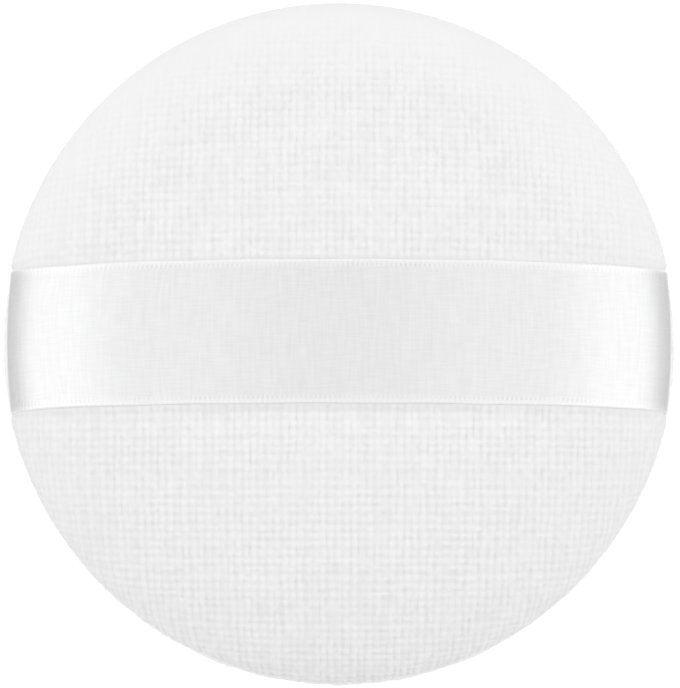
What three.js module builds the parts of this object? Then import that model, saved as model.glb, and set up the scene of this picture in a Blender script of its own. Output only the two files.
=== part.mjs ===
// A round powder puff. A woven cotton back and a plush face are sewn right sides together,
// turned, filled with a sponge pad and closed by hand. A satin finger ribbon crosses the back,
// and its two ends are caught in the seam.
// Millimetres, +Z up. The puff rests on its face, with the ribbon along X.
import * as THREE from "three";

// Overall form
const PUFF_WIDTH = 78; // rim to rim across the ribbon
const RIBBON_DRAW_IN = 0.6; // how far the taut ribbon draws the rim in at each of its ends
const BACK_CROWN = 12; // rise of the back above its widest ring
const FACE_BULGE = 9.5; // drop of the face below its widest ring before it is set down
const FACE_PRESS = 1; // part of that drop which the table presses flat

// Covers
const BACK_CLOTH = 1; // thickness of the napped woven cotton
const FACE_PLUSH = 1.6; // thickness of the plush, ground and pile together
const BEND_INSIDE = 0.2; // inside radius where a cover turns in at the seam
const SEAM_SETBACK = 0.6; // from where the two covers meet to the seam stitches
const SEAM_ALLOWANCE = 4.5; // cloth left inside the seam stitches

// Finger ribbon
const RIBBON_WIDTH = 16;
const RIBBON_THICKNESS = 0.35;
const CROWN_SINK = 0.2; // how deep the ribbon's edges press into the back at the crown
const CROWN_TAUT = 0.25; // how much deeper the middle of the ribbon presses there
const RIM_TAUT = 0.4; // how much deeper the middle of the ribbon presses at the rim
const CHANNEL_MARGIN = 1; // pressed cloth beyond each edge of the ribbon
const CHANNEL_WALL = 4; // run over which the back rises again to its full height

// Thread
const THREAD = 0.4; // diameter
const STITCH_LENGTH = 3.3; // of the round seam
const STITCH_RISE = 0.3; // arch of a stitch between its two holes
const FURROW_DEPTH = 0.35; // furrow that the tight stitches pull in the cloth
const FURROW_WIDTH = 1.2;
const TACK_REACH = 2; // from one side of the zigzag tack to the other
const TACK_SETBACK = 1.3; // from the seam stitches to the tack
const TACK_PITCH = 1.2; // along the tack, from one turn to the next
const TACK_EDGE = 1; // ribbon left bare at each end of the tack
const CLOSING_LENGTH = 30; // of the hand-sewn part of the seam
const CLOSING_PITCH = 1.5; // from one rung of the ladder stitch to the next
const CLOSING_DEPTH = 0.45; // how deep the ladder stitch lies in the groove of the rim

// Fits
const CLEARANCE = 0.3; // between pieces that lie on each other
const THREAD_CLEARANCE = 0.15; // between a thread and the cloth that it is sewn into

// Facets
const ROUND_STEPS = 52;
const FACET_GATHER = 0.4; // how much closer facets stand where the ribbon crosses the rim
const BACK_STEPS = 10;
const FACE_STEPS = 8;
const INNER_STEPS = 5;
const ROLL_STEPS = 3;
const SPAN_STEPS = 32;
const BEND_STEPS = 4;
const TAB_STEPS = 2;
const RIBBON_COLUMNS = 4;
const STEPS_PER_STITCH = 3;
const STEPS_PER_TURN = 3;
const THREAD_SIDES = 4;

// Heights and radii that follow from the sizes above
const rim = PUFF_WIDTH / 2;
const backRoll = BACK_CLOTH + BEND_INSIDE;
const faceRoll = FACE_PLUSH + BEND_INSIDE;
const faceRing = FACE_BULGE - FACE_PRESS;
const seam = faceRing + faceRoll + CLEARANCE / 2;
const backRing = seam + CLEARANCE / 2 + backRoll;
const backFlangeLow = backRing - backRoll;
const backFlangeHigh = backFlangeLow + BACK_CLOTH;
const faceFlangeHigh = faceRing + faceRoll;
const faceFlangeLow = faceFlangeHigh - FACE_PLUSH;
const stitchRing = rim - Math.max(backRoll, faceRoll) - SEAM_SETBACK;
const allowanceEdge = stitchRing - SEAM_ALLOWANCE;
const furrowHalf = FURROW_WIDTH / 2;
const furrowSlant = Math.atan2(furrowHalf, FURROW_DEPTH);
const threadSeat = (THREAD / 2 + THREAD_CLEARANCE) / Math.sin(furrowSlant) - FURROW_DEPTH;
const stitchRoom = threadSeat + STITCH_RISE + THREAD / 2 + CLEARANCE;
const tackSeat = THREAD_CLEARANCE + THREAD / 2;
const sewnRoom = Math.max(stitchRoom, tackSeat + THREAD / 2 + CLEARANCE);

// Looks
const cottonLook = { color: 0xf4f3f0, roughness: 0.95, metalness: 0 };
const plushLook = { color: 0xf6f4f0, roughness: 1, metalness: 0 };
const spongeLook = { color: 0xf3efe2, roughness: 1, metalness: 0 };
const satinLook = { color: 0xf7f7f9, roughness: 0.35, metalness: 0 };
const threadLook = { color: 0xf5f5f3, roughness: 0.6, metalness: 0 };

// Moves every vertex of a geometry to where a function of its place puts it.
function reshape(geometry, place) {
  const position = geometry.attributes.position;
  const point = new THREE.Vector3();
  for (let i = 0; i < position.count; i += 1) {
    const moved = place(point.fromBufferAttribute(position, i));
    position.setXYZ(i, moved.x, moved.y, moved.z);
  }
  geometry.computeVertexNormals();
  return geometry;
}

// Share of the ribbon's pressure that reaches a place this far from the middle of the ribbon.
function channelShare(across) {
  const floor = RIBBON_WIDTH / 2 + CHANNEL_MARGIN;
  return 1 - THREE.MathUtils.smoothstep(across, floor, floor + CHANNEL_WALL);
}

// Presses the soft back in under the taut ribbon, and spreads the seam where the ribbon enters it.
function pressUnderRibbon(point) {
  const across = Math.abs(point.y);
  const share = channelShare(across);
  if (share === 0) return point;
  const edgeness = Math.min(across / (RIBBON_WIDTH / 2), 1);
  const outwards = Math.min(Math.abs(point.x) / rim, 1) ** 4;
  const sink = THREE.MathUtils.lerp(CROWN_SINK, RIBBON_THICKNESS + CLEARANCE, outwards);
  const taut = THREE.MathUtils.lerp(CROWN_TAUT, RIM_TAUT, outwards) * (1 - edgeness ** 2);
  const height = Math.max(point.z - backRing, 0);
  const level = Math.hypot(point.x / rim, point.y / rim, height / BACK_CROWN);
  const depth = (sink + taut) * share * THREE.MathUtils.smoothstep(level, allowanceEdge / rim, 1);
  const inward = new THREE.Vector3(point.x / rim ** 2, 0, height / BACK_CROWN ** 2).normalize();
  const spread = (RIBBON_THICKNESS + CLEARANCE) * share;
  const fade = 1 - THREE.MathUtils.smoothstep(point.z, backRing, backRing + BACK_CROWN / 2);
  point.addScaledVector(inward, -depth);
  point.z += spread * fade;
  return point;
}

// Gives a piece of the round puff the shape that the ribbon pulls it into.
function settle(geometry, isOnBack) {
  return reshape(geometry, (point) => {
    const settled = isOnBack(point) ? pressUnderRibbon(point) : point;
    settled.x *= 1 - RIBBON_DRAW_IN / rim;
    return settled;
  });
}

const onBack = () => true;
const onFace = () => false;
const aboveSeam = (point) => point.z > seam;

const puff = new THREE.Group();

function addPart(name, geometry, isOnBack, look) {
  const mesh = new THREE.Mesh(settle(geometry, isOnBack), new THREE.MeshStandardMaterial(look));
  mesh.name = name;
  puff.add(mesh);
}

// Points of a quarter ellipse between two turns from the pole, in the radius and height plane.
function archPoints(radius, rise, ringHeight, fromTurn, toTurn, steps) {
  return Array.from({ length: steps + 1 }, (_, i) => {
    const turn = THREE.MathUtils.lerp(fromTurn, toTurn, i / steps);
    return new THREE.Vector2(radius * Math.sin(turn), ringHeight + rise * Math.cos(turn));
  });
}

// Points of the back, this far inside its outer skin, from the pole or towards it.
function backArch(inset, fromTurn, toTurn, steps) {
  return archPoints(rim - inset, BACK_CROWN - inset, backRing, fromTurn, toTurn, steps);
}

// Points of the face, this far inside its outer skin, from one turn to another.
function faceArch(inset, fromTurn, toTurn, steps) {
  return archPoints(rim - inset, inset - FACE_BULGE, faceRing, fromTurn, toTurn, steps);
}

// Turn from the pole at which the face, this far inside its skin, stands this high.
function faceTurnAt(inset, height) {
  return Math.acos((faceRing - height) / (FACE_BULGE - inset));
}

function backTurnAt(inset, height) {
  return Math.acos((height - backRing) / (BACK_CROWN - inset));
}

// Furrow of the seam stitches in the face of a turned-in edge, from the inside outwards.
function furrow(height, depth) {
  return [
    new THREE.Vector2(stitchRing - furrowHalf, height),
    new THREE.Vector2(stitchRing, height + depth),
    new THREE.Vector2(stitchRing + furrowHalf, height),
  ];
}

// Turns a profile round the middle of the puff, with its facets gathered towards the ribbon.
function revolve(points) {
  const round = new THREE.LatheGeometry(points, ROUND_STEPS).rotateX(Math.PI / 2);
  return reshape(round, (point) => {
    const radius = Math.hypot(point.x, point.y);
    const around = Math.atan2(point.y, point.x);
    const gathered = around - (FACET_GATHER / 2) * Math.sin(2 * around);
    return point.set(radius * Math.cos(gathered), radius * Math.sin(gathered), point.z);
  });
}

// The quarter roll where a cover turns in at the rim, from its widest ring to the seam.
function rollPoints(roll, ringHeight, direction) {
  return Array.from({ length: ROLL_STEPS }, (_, i) => {
    const turn = (Math.PI / 2) * ((i + 1) / ROLL_STEPS);
    return new THREE.Vector2(
      rim - roll + roll * Math.cos(turn),
      ringHeight + direction * roll * Math.sin(turn),
    );
  });
}

function backCover() {
  return revolve([
    ...backArch(BACK_CLOTH, 0, Math.PI / 2, INNER_STEPS),
    new THREE.Vector2(rim - BACK_CLOTH, backFlangeHigh),
    ...furrow(backFlangeHigh, -FURROW_DEPTH).reverse(),
    new THREE.Vector2(allowanceEdge, backFlangeHigh),
    new THREE.Vector2(allowanceEdge, backFlangeLow),
    ...rollPoints(backRoll, backRing, -1).reverse(),
    ...backArch(0, Math.PI / 2, 0, BACK_STEPS),
  ]);
}

function faceCover() {
  return revolve([
    new THREE.Vector2(0, 0),
    ...faceArch(0, faceTurnAt(0, 0), Math.PI / 2, FACE_STEPS),
    ...rollPoints(faceRoll, faceRing, 1),
    new THREE.Vector2(allowanceEdge, faceFlangeHigh),
    new THREE.Vector2(allowanceEdge, faceFlangeLow),
    ...furrow(faceFlangeLow, FURROW_DEPTH),
    new THREE.Vector2(rim - FACE_PLUSH, faceFlangeLow),
    ...faceArch(FACE_PLUSH, Math.PI / 2, faceTurnAt(FACE_PLUSH, FACE_PLUSH), INNER_STEPS),
    new THREE.Vector2(0, FACE_PLUSH),
  ]);
}

// The pad fills both covers and leaves a groove round its edge for the turned-in cloth.
function spongeCore() {
  const faceInset = FACE_PLUSH + CLEARANCE;
  const backInset = BACK_CLOTH + CLEARANCE;
  const grooveFloor = faceFlangeLow - sewnRoom;
  const grooveRoof = backFlangeHigh + sewnRoom;
  const grooveEdge = allowanceEdge - CLEARANCE;
  const faceFlat = faceTurnAt(faceInset, faceInset);
  return revolve([
    new THREE.Vector2(0, faceInset),
    ...faceArch(faceInset, faceFlat, faceTurnAt(faceInset, grooveFloor), INNER_STEPS),
    new THREE.Vector2(grooveEdge, grooveFloor),
    new THREE.Vector2(grooveEdge, faceFlangeHigh),
    new THREE.Vector2(grooveEdge, backFlangeLow),
    new THREE.Vector2(grooveEdge, grooveRoof),
    ...backArch(backInset, backTurnAt(backInset, grooveRoof), 0, INNER_STEPS),
  ]);
}

// A flat strip laid along a path: the path gives a place for a share of its length,
// a distance across the ribbon and a distance out from the back.
function ribbonStrip(steps, path) {
  const strip = new THREE.BoxGeometry(1, RIBBON_WIDTH, RIBBON_THICKNESS, steps, RIBBON_COLUMNS, 1);
  const middle = CLEARANCE + RIBBON_THICKNESS / 2;
  return reshape(strip, (point) => path(point.x + 0.5, point.y, point.z + middle));
}

// Over the back from its left end to its right end.
function overBack(along, across, out) {
  const reach = Math.sqrt((rim + out) ** 2 - across ** 2);
  const rise = ((BACK_CROWN + out) * reach) / (rim + out);
  const turn = Math.PI * (along - 0.5);
  return new THREE.Vector3(reach * Math.sin(turn), across, backRing + rise * Math.cos(turn));
}

// Round the turned-in edge of the back at the right, and flat between the two allowances.
function intoSeam(along, across, out) {
  const roll = backRoll + out;
  const bendShare = BEND_STEPS / (BEND_STEPS + TAB_STEPS);
  const firstTurn = Math.asin(CLEARANCE / roll);
  const turn = THREE.MathUtils.lerp(firstTurn, Math.PI / 2, Math.min(along / bendShare, 1));
  const radius = rim - backRoll + roll * Math.cos(turn);
  const tabShare = Math.max(along - bendShare, 0) / (1 - bendShare);
  const x = THREE.MathUtils.lerp(Math.sqrt(radius ** 2 - across ** 2), allowanceEdge, tabShare);
  return new THREE.Vector3(x, across, backRing - roll * Math.sin(turn));
}

function outOfSeam(along, across, out) {
  const point = intoSeam(1 - along, across, out);
  point.x = -point.x;
  return point;
}

// The line of one seam thread: it arches over every stitch and dips at every hole.
class SeamLine extends THREE.Curve {
  constructor(dipHeight, rise) {
    super();
    this.dipHeight = dipHeight;
    this.rise = rise;
    this.stitches = Math.round((2 * Math.PI * stitchRing) / STITCH_LENGTH);
  }

  getPoint(t, target = new THREE.Vector3()) {
    const around = 2 * Math.PI * t;
    const height = this.dipHeight + this.rise * Math.sin(Math.PI * t * this.stitches) ** 2;
    return target.set(stitchRing * Math.cos(around), stitchRing * Math.sin(around), height);
  }

  getPointAt(t, target) {
    return this.getPoint(t, target);
  }

  getTangentAt(t, target) {
    return this.getTangent(t, target);
  }
}

function seamThread(dipHeight, rise) {
  const line = new SeamLine(dipHeight, rise);
  const steps = line.stitches * STEPS_PER_STITCH;
  return new THREE.TubeGeometry(line, steps, THREAD / 2, THREAD_SIDES, true);
}

// A length of thread sewn through a row of turning points.
function sewnThread(turns) {
  const corners = Array.from({ length: THREAD_SIDES }, (_, i) => {
    const turn = (2 * Math.PI * i) / THREAD_SIDES;
    return new THREE.Vector2((THREAD / 2) * Math.cos(turn), (THREAD / 2) * Math.sin(turn));
  });
  return new THREE.ExtrudeGeometry(new THREE.Shape(corners), {
    steps: (turns.length - 1) * STEPS_PER_TURN,
    extrudePath: new THREE.CatmullRomCurve3(turns),
    bevelEnabled: false,
  });
}

// Zigzag tack over a ribbon end, on the turned-in edge of the back; side is 1 right, -1 left.
function ribbonTack(side) {
  const length = RIBBON_WIDTH - 2 * TACK_EDGE;
  const count = Math.round(length / TACK_PITCH);
  const outer = stitchRing - furrowHalf - TACK_SETBACK;
  const height = backFlangeHigh + tackSeat;
  const turns = Array.from({ length: count + 1 }, (_, i) => {
    const across = length * (i / count - 0.5);
    const radius = i % 2 === 0 ? outer : outer - TACK_REACH;
    return new THREE.Vector3(side * Math.sqrt(radius ** 2 - across ** 2), across, height);
  });
  return sewnThread(turns);
}

// Half opening of the rim's groove beside one cover, at the depth of the closing stitches.
function grooveHalf(roll) {
  return CLEARANCE / 2 + roll - Math.sqrt(roll ** 2 - (roll - CLOSING_DEPTH) ** 2);
}

// Ladder stitch that shuts the turning gap, in the groove of the rim behind the ribbon.
function closingStitches() {
  const radius = rim - CLOSING_DEPTH;
  const count = Math.round(CLOSING_LENGTH / CLOSING_PITCH);
  const room = THREAD / 2 + THREAD_CLEARANCE;
  const high = seam + grooveHalf(backRoll) - room;
  const low = seam - grooveHalf(faceRoll) + room;
  const turns = Array.from({ length: count + 1 }, (_, i) => {
    const around = Math.PI / 2 + (CLOSING_LENGTH / radius) * (i / count - 0.5);
    const height = i % 2 === 0 ? low : high;
    return new THREE.Vector3(radius * Math.cos(around), radius * Math.sin(around), height);
  });
  return sewnThread(turns);
}

addPart("back_cover", backCover(), onBack, cottonLook);
addPart("face_cover", faceCover(), onFace, plushLook);
addPart("sponge_core", spongeCore(), aboveSeam, spongeLook);
addPart("finger_ribbon", ribbonStrip(SPAN_STEPS, overBack), onBack, satinLook);
addPart("ribbon_right_end", ribbonStrip(BEND_STEPS + TAB_STEPS, intoSeam), onBack, satinLook);
addPart("ribbon_left_end", ribbonStrip(BEND_STEPS + TAB_STEPS, outOfSeam), onBack, satinLook);
addPart("seam_needle_thread", seamThread(backFlangeHigh + threadSeat, STITCH_RISE), onBack, threadLook);
addPart("seam_bobbin_thread", seamThread(faceFlangeLow - threadSeat, -STITCH_RISE), onFace, threadLook);
addPart("right_ribbon_tack", ribbonTack(1), onBack, threadLook);
addPart("left_ribbon_tack", ribbonTack(-1), onBack, threadLook);
addPart("closing_stitches", closingStitches(), onFace, threadLook);

export default puff;
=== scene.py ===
import math

import bmesh
import bpy
import numpy as np
from mathutils import Matrix, Vector, noise


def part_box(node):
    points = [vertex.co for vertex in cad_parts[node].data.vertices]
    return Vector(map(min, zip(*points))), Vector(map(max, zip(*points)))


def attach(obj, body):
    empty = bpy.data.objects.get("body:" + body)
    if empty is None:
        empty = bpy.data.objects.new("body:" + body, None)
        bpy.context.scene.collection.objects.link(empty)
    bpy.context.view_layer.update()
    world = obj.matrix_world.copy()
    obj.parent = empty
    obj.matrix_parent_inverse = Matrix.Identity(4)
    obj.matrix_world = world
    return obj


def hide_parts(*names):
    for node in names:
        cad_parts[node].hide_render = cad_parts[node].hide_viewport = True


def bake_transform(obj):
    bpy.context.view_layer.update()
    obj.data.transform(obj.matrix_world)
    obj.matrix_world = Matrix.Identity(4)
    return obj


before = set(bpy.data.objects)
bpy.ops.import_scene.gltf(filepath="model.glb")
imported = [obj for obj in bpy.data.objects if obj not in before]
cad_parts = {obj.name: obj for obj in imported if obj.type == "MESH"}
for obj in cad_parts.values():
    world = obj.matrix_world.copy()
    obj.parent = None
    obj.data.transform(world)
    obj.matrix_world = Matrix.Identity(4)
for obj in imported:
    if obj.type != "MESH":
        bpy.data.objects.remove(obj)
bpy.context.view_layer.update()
scene = bpy.context.scene
mm = 0.001

# the form that all pieces share, taken from the solids where their boxes give it
_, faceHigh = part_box("face_cover")
backLow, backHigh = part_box("back_cover")
puffForm = {
    "rim": faceHigh.y,  # half the width across the ribbon
    "drawIn": 1 - faceHigh.x / faceHigh.y,  # how much the taut ribbon draws the rim in
    "seam": (faceHigh.z + backLow.z) / 2,
    "seamGap": 0.1 * mm,  # between the two turned-in edges
    "backRing": backLow.z + 1.2 * mm,  # height where the back is widest
    "backCrown": 12 * mm,  # rise of the back above that ring
    "backCloth": 1 * mm,
    "faceRing": faceHigh.z - 1.8 * mm,
    "faceBulge": 9.5 * mm,  # drop of the face below its ring, before the table presses it flat
    "facePlush": 1.6 * mm,
    "allowanceEdge": 32.1 * mm,  # inner edge of the turned-in cloth
}
ribbonForm = {
    "width": 16.35 * mm,
    "offset": -0.15 * mm,  # sewn on this far off the middle, towards the front
    "thickness": 0.15 * mm,
    "edgeThickness": 0.02 * mm,  # its edges are rolled down to this
    "edgeRoll": 0.36 * mm,
    "lift": 0.015 * mm,  # between the back and the ribbon on it
    "crownSink": 0.07 * mm,  # how deep the ribbon's edges press into the back at the crown
    "crownTaut": 0.3 * mm,  # how much deeper its middle presses there
    "rimSink": 0.4 * mm,  # and both at the rim
    "rimTaut": 0.35 * mm,
    "crownWall": 4 * mm,  # run over which the back rises again beside the ribbon at the crown
    "rimWall": 0.4 * mm,  # and at the rim
    "rimPower": 4,  # the values of the crown change late to those of the rim
    "margin": 0.04 * mm,  # pressed cloth beside the ribbon
    "rowStep": 0.12 * mm,
    "columns": 48,
    "gather": 0.36,  # how much closer the columns stand at the edges
    "selvedge": 0.48 * mm,  # width of the bead along each edge
    "selvedgeRise": 0.05 * mm,
    "scallop": 0.66 * mm,  # length of one scallop of the bead
    "scallopDip": 0.2,
    "tickPitch": 0.56 * mm,  # weft turns beside the bead
    "tickReach": 0.95 * mm,  # how far in from the edge they show
    "tickStart": 0.12 * mm,  # run over which they begin beside the bead
    "tickStop": 0.2 * mm,  # and end
    "tickDepth": 0.03 * mm,
    "tickUneven": 0.45,
    "tickRuns": (1.9 * mm, 3.1 * mm),  # lengths over which their depth varies
    "tickShine": 0.5,  # the weft turns between them get this share of the bead's painted highlight
    "waver": 0.03 * mm,  # the edges are not quite straight
    "waverRun": 2.3 * mm,
    "waverPower": 6,  # how fast this fades towards the middle
}


def linear(hexColour):
    channels = [int(hexColour[i : i + 2], 16) / 255 for i in (0, 2, 4)]
    curve = [c / 12.92 if c <= 0.04045 else ((c + 0.055) / 1.055) ** 2.4 for c in channels]
    return (*curve, 1.0)


def addNode(tree, kind, settings=None, inputs=None):
    node = tree.nodes.new(kind)
    for name, value in (settings or {}).items():
        setattr(node, name, value)
    for name, value in (inputs or {}).items():
        if isinstance(value, bpy.types.NodeSocket):
            tree.links.new(value, node.inputs[name])
        else:
            node.inputs[name].default_value = value
    return node


colourMix = {"data_type": "RGBA"}  # its two colours are inputs 6 and 7, the result is output 2


def newMaterial(name, addShader):
    material = bpy.data.materials.new(name)
    material.use_nodes = True
    tree = material.node_tree
    tree.nodes.clear()
    shader = addShader(tree)
    addNode(tree, "ShaderNodeOutputMaterial", inputs={"Surface": shader.outputs[0]})
    return material


def smoothStep(value, low, high):
    t = np.clip((value - low) / (high - low), 0, 1)
    return t * t * (3 - 2 * t)


def between(low, high, share):
    return low * (1 - share) + high * share


def addObject(name, mesh, material=None):
    piece = bpy.data.objects.new(name, mesh)
    scene.collection.objects.link(piece)
    mesh.shade_smooth()
    if material:
        mesh.materials.append(material)
    return piece


def meshFrom(shape, name):
    mesh = bpy.data.meshes.new(name)
    shape.to_mesh(mesh)
    shape.free()
    return mesh


def readPoints(mesh):
    points = np.empty(len(mesh.vertices) * 3)
    mesh.vertices.foreach_get("co", points)
    return points.reshape(-1, 3)


def readMarks(mesh, name):
    marks = np.empty(len(mesh.vertices), dtype=np.int32)
    mesh.attributes[name].data.foreach_get("value", marks)
    return marks


def writePoints(mesh, points):
    mesh.vertices.foreach_set("co", np.ascontiguousarray(points, dtype=np.float32).ravel())
    mesh.update()


def turnOutwards(mesh):
    shell = bmesh.new()
    shell.from_mesh(mesh)
    bmesh.ops.recalc_face_normals(shell, faces=shell.faces)
    shell.to_mesh(mesh)
    shell.free()


# turns a line of radius and height round the upright middle
def spinLine(name, line, around):
    skin = bmesh.new()
    chain = [skin.verts.new((radius, 0, height)) for radius, height in line.tolist()]
    for near, far in zip(chain, chain[1:]):
        skin.edges.new((near, far))
    bmesh.ops.spin(
        skin, geom=skin.verts[:] + skin.edges[:], cent=(0, 0, 0), axis=(0, 0, 1),
        angle=2 * math.pi, steps=around, use_merge=True)
    bmesh.ops.remove_doubles(skin, verts=skin.verts, dist=1e-6)
    bmesh.ops.recalc_face_normals(skin, faces=skin.faces)
    return meshFrom(skin, name)


# presses the soft back in under the taut ribbon, and opens the seam where the ribbon enters it
def pressUnderRibbon(points):
    rim, crown, ring = puffForm["rim"], puffForm["backCrown"], puffForm["backRing"]
    x, y, z = points.T
    outwards = np.minimum(np.abs(x) / rim, 1) ** ribbonForm["rimPower"]
    floor = ribbonForm["width"] / 2 + ribbonForm["margin"]
    wall = between(ribbonForm["crownWall"], ribbonForm["rimWall"], outwards)
    off = np.abs(y - ribbonForm["offset"])
    share = 1 - smoothStep(off, floor, floor + wall)
    sink = between(ribbonForm["crownSink"], ribbonForm["rimSink"], outwards)
    taut = between(ribbonForm["crownTaut"], ribbonForm["rimTaut"], outwards)
    edgeness = np.minimum(off / (ribbonForm["width"] / 2), 1)
    height = np.maximum(z - ring, 0)
    level = np.sqrt((x / rim) ** 2 + (y / rim) ** 2 + (height / crown) ** 2)
    depth = (sink + taut * (1 - edgeness**2)) * share
    depth = depth * smoothStep(level, puffForm["allowanceEdge"] / rim, 1)
    inward = np.stack([x / rim**2, np.zeros_like(x), height / crown**2], 1)
    inward /= np.maximum(np.linalg.norm(inward, axis=1), 1e-6)[:, None]
    moved = points - inward * depth[:, None]
    room = ribbonForm["thickness"] + ribbonForm["lift"]
    moved[:, 2] += room * share * (1 - smoothStep(z, ring, ring + crown / 2))
    return moved


def drawIn(points):
    return points * np.array([1 - puffForm["drawIn"], 1, 1])


lineSteps = 600  # points on the outer line of a cover
rollSteps = 79  # points on the small roll where it turns in
arcSteps = 800  # points on the ribbon's way from the crown to the rim


# outer line of a cover from its pole to the turned-in edge, as radius and height (up: 1 back, -1 face)
def coverLine(ring, dome, up, start):
    rim = puffForm["rim"]
    turn = np.linspace(start, math.pi / 2, lineSteps)
    bend = np.linspace(0, math.pi / 2, rollSteps + 1)[1:]
    roll = up * (ring - puffForm["seam"]) - puffForm["seamGap"] / 2
    radius = np.append(rim * np.sin(turn), rim - roll + roll * np.cos(bend))
    height = np.append(ring + up * dome * np.cos(turn), ring - up * roll * np.sin(bend))
    return np.stack([radius, height], 1)


def backLine():
    return coverLine(puffForm["backRing"], puffForm["backCrown"], 1, 0)


def faceLine():
    ring, bulge = puffForm["faceRing"], puffForm["faceBulge"]
    line = coverLine(ring, bulge, -1, math.acos(ring / bulge))
    return np.maximum(np.insert(line, 0, 0, axis=0), 0)


# turned-in edge and lining of a cover, as rings of radius and height
def liningRings(seam, ring, dome, cloth, up, settings):
    rim, edge, inner = puffForm["rim"], puffForm["allowanceEdge"], seam + up * cloth
    rings = [(edge, seam), (edge, inner), (rim - settings["tuck"] * cloth, inner), (rim - cloth, ring)]
    for turn in map(math.radians, settings["liningTurns"]):
        rings.append(((rim - cloth) * math.sin(turn), ring + up * (dome - cloth) * math.cos(turn)))
    return rings


def lineLengths(line):
    return np.append(0, np.cumsum(np.linalg.norm(np.diff(line, axis=0), axis=1)))


def pointsAt(line, lengths, stops):
    return np.stack([np.interp(stops, lengths, axis) for axis in line.T], 1)


# lays flat cloth on a turned line: each point goes as far along the line as it lies from the middle
def wrapCloth(flat, line, outSign):
    lengths = lineLengths(line)
    distance = np.hypot(flat[:, 0], flat[:, 1])
    radius, height = pointsAt(line, lengths, distance).T
    tangent = np.gradient(line, lengths, axis=0)
    tangent /= np.linalg.norm(tangent, axis=1)[:, None]
    outR = np.interp(distance, lengths, -outSign * tangent[:, 1])
    outZ = np.interp(distance, lengths, outSign * tangent[:, 0])
    ray = flat / np.maximum(distance, 1e-9)[:, None]
    points = np.stack([ray[:, 0] * radius, ray[:, 1] * radius, height], 1)
    outs = np.stack([ray[:, 0] * outR, ray[:, 1] * outR, outZ], 1)
    return points, outs, distance


edgeRoom = 0.25  # shares of a grid square: points closer to the cut edge than this are left out


# a cover cut as flat cloth on a square grid, with its turned-in edge and its lining as rings round it
def cutCover(name, reach, spacing, ringCount):
    cells = round(2 * reach / spacing)
    cloth = bmesh.new()
    ringLayer = cloth.verts.layers.int.new("ring")
    bmesh.ops.create_grid(cloth, x_segments=cells, y_segments=cells, size=reach)
    beyond = [v for v in cloth.verts if v.co.xy.length > reach - edgeRoom * spacing]
    bmesh.ops.delete(cloth, geom=beyond, context="VERTS")
    loose = [v for v in cloth.verts if len(v.link_faces) == 0]
    bmesh.ops.delete(cloth, geom=loose, context="VERTS")
    edges = [e for e in cloth.edges if e.is_boundary]
    for v in {v for e in edges for v in e.verts}:
        v.co.xy = v.co.xy.normalized() * reach
    for ring in range(ringCount):
        made = bmesh.ops.extrude_edge_only(cloth, edges=edges)["geom"]
        for v in made:
            if isinstance(v, bmesh.types.BMVert):
                v[ringLayer] = ring + 1
        edges = [e for e in made if isinstance(e, bmesh.types.BMEdge) and e.is_boundary]
    bmesh.ops.edgeloop_fill(cloth, edges=edges)
    mesh = meshFrom(cloth, name)
    return mesh, readPoints(mesh)[:, :2], readMarks(mesh, "ring")


# places in the unit square of the bake maps
bakeMap = {
    "clothHalf": 0.49,
    "corner": 0.07,  # middle of the place for a cover's hidden rings, each ring smaller than the one before
    "cornerHalf": 0.06,
    "cornerFirst": 1.05,  # size of the first ring there
    "stripLength": 0.98,
    "stripWidth": 0.46,
    "stripMiddles": (0.25, 0.75),  # of the ribbon's under side and of its upper side
}


# which vertex each corner of the mesh uses, and which corners belong to a face with a marked vertex
def readCorners(mesh, marks):
    corners = np.empty(len(mesh.loops), dtype=np.int32)
    mesh.loops.foreach_get("vertex_index", corners)
    totals = np.empty(len(mesh.polygons), dtype=np.int32)
    mesh.polygons.foreach_get("loop_total", totals)
    starts = np.append(0, np.cumsum(totals)[:-1])
    return corners, np.repeat(np.maximum.reduceat(marks[corners], starts) > 0, totals)


def storeMap(mesh, places):
    mesh.uv_layers.new(name="OFBake").data.foreach_set("uv", places.astype(np.float32).ravel())


# the cloth fills the square and the hidden rings go into a corner of it
def layMap(mesh, flat, rings, reach):
    corners, hidden = readCorners(mesh, rings)
    cloth = 0.5 + bakeMap["clothHalf"] * flat[corners] / reach
    shrink = bakeMap["cornerHalf"] * (bakeMap["cornerFirst"] - rings[corners] / (rings.max() + 1))
    corner = bakeMap["corner"] + shrink[:, None] * flat[corners] / reach
    storeMap(mesh, np.where(hidden[:, None], corner, cloth))


def storeValue(mesh, name, values):
    mesh.attributes.new(name, "FLOAT", "POINT").data.foreach_set("value", values.astype(np.float32))


# the back swells under the pressure of its filling, held down at the seam and under the ribbon
swellSettings = {
    "rows": 15,  # few points, because the solver repeats itself closely only on a coarse skin
    "around": 32,
    "finer": 4,  # the table of rises is then drawn this many times finer
    "grow": 5,  # the cloth solver works on a copy this many times as large
    "pressure": 12.5,
    "quality": 6,
    "frames": 20,
    "onDome": 0.05 * mm,  # points this close to the dome's line lie on it
    "heldRise": 1.5 * mm,  # the filling holds the back this far above its widest ring
    "cap": 0.45 * mm,  # the most that a point may move
    "beside": 3.5 * mm,  # run beside the ribbon over which the back comes up
}


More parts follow.
